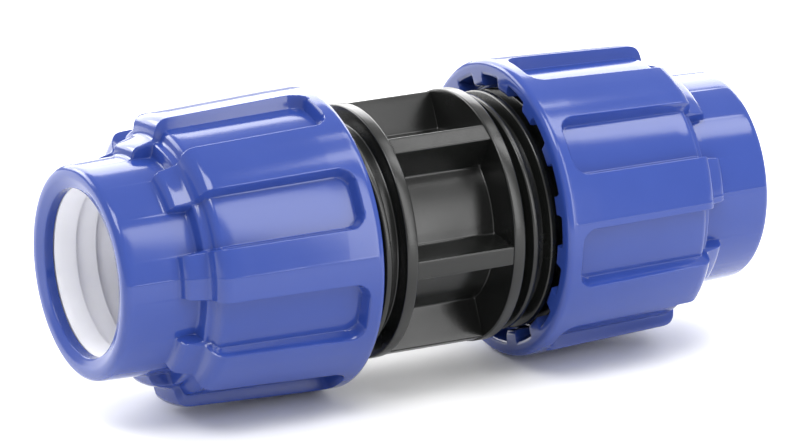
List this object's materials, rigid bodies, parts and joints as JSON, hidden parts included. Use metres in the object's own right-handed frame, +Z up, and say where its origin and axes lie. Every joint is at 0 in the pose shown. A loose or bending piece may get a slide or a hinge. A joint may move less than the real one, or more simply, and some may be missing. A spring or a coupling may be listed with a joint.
{
  "type": "push fit pipe coupling",
  "caption": "Straight push fit compression coupling for plastic water pipe: ribbed black body with a threaded blue nut, split grip ring, bush and O-ring at each end.",
  "frame": {"origin": "middle of the body, on the axis of the pipe, which is the centre of the bounding box", "axes": "+X along the pipe towards the right nut, +Z up, +Y away from the front of the coupling"},
  "size_m": [0.147, 0.0614, 0.0614],
  "materials": {
    "black_body": "moulded black polypropylene, satin with soft grey reflections",
    "blue_nut": "moulded violet-blue polypropylene, semi-gloss",
    "white_ring": "moulded white acetal, satin",
    "black_rubber": "moulded black nitrile rubber"
  },
  "bodies": {
    "coupling_body": {"coupling_body": "black_body", "left_o_ring": "black_rubber", "right_o_ring": "black_rubber"},
    "left_split_ring": {"left_split_ring": "white_ring"},
    "left_nut": {"left_nut": "blue_nut"},
    "left_bush": {"left_bush": "white_ring"},
    "right_split_ring": {"right_split_ring": "white_ring"},
    "right_nut": {"right_nut": "blue_nut"},
    "right_bush": {"right_bush": "white_ring"}
  },
  "joints": [
    {"name": "left_ring_travel", "type": "slide", "parent": "coupling_body", "child": "left_split_ring", "axis": [-1, 0, 0], "range_m": [-0.006, 0.008]},
    {"name": "left_nut_turn", "type": "hinge", "parent": "left_split_ring", "child": "left_nut", "pos_m": [-0.0471, 0, 0], "axis": [-1, 0, 0], "range_deg": [-540, 720]},
    {"name": "left_bush_travel", "type": "slide", "parent": "coupling_body", "child": "left_bush", "axis": [-1, 0, 0], "range_m": [-0.0015, 0.002]},
    {"name": "right_ring_travel", "type": "slide", "parent": "coupling_body", "child": "right_split_ring", "axis": [1, 0, 0], "range_m": [-0.006, 0.008]},
    {"name": "right_nut_turn", "type": "hinge", "parent": "right_split_ring", "child": "right_nut", "pos_m": [0.0471, 0, 0], "axis": [1, 0, 0], "range_deg": [-540, 720]},
    {"name": "right_bush_travel", "type": "slide", "parent": "coupling_body", "child": "right_bush", "axis": [1, 0, 0], "range_m": [-0.0015, 0.002]}
  ],
  "couplings": [
    {"joint": "left_ring_travel", "follows": "left_nut_turn", "m_per_rad": 0.00063661},
    {"joint": "left_bush_travel", "follows": "left_nut_turn", "m_per_rad": 0.00015915},
    {"joint": "right_ring_travel", "follows": "right_nut_turn", "m_per_rad": 0.00063661},
    {"joint": "right_bush_travel", "follows": "right_nut_turn", "m_per_rad": 0.00015915}
  ]
}
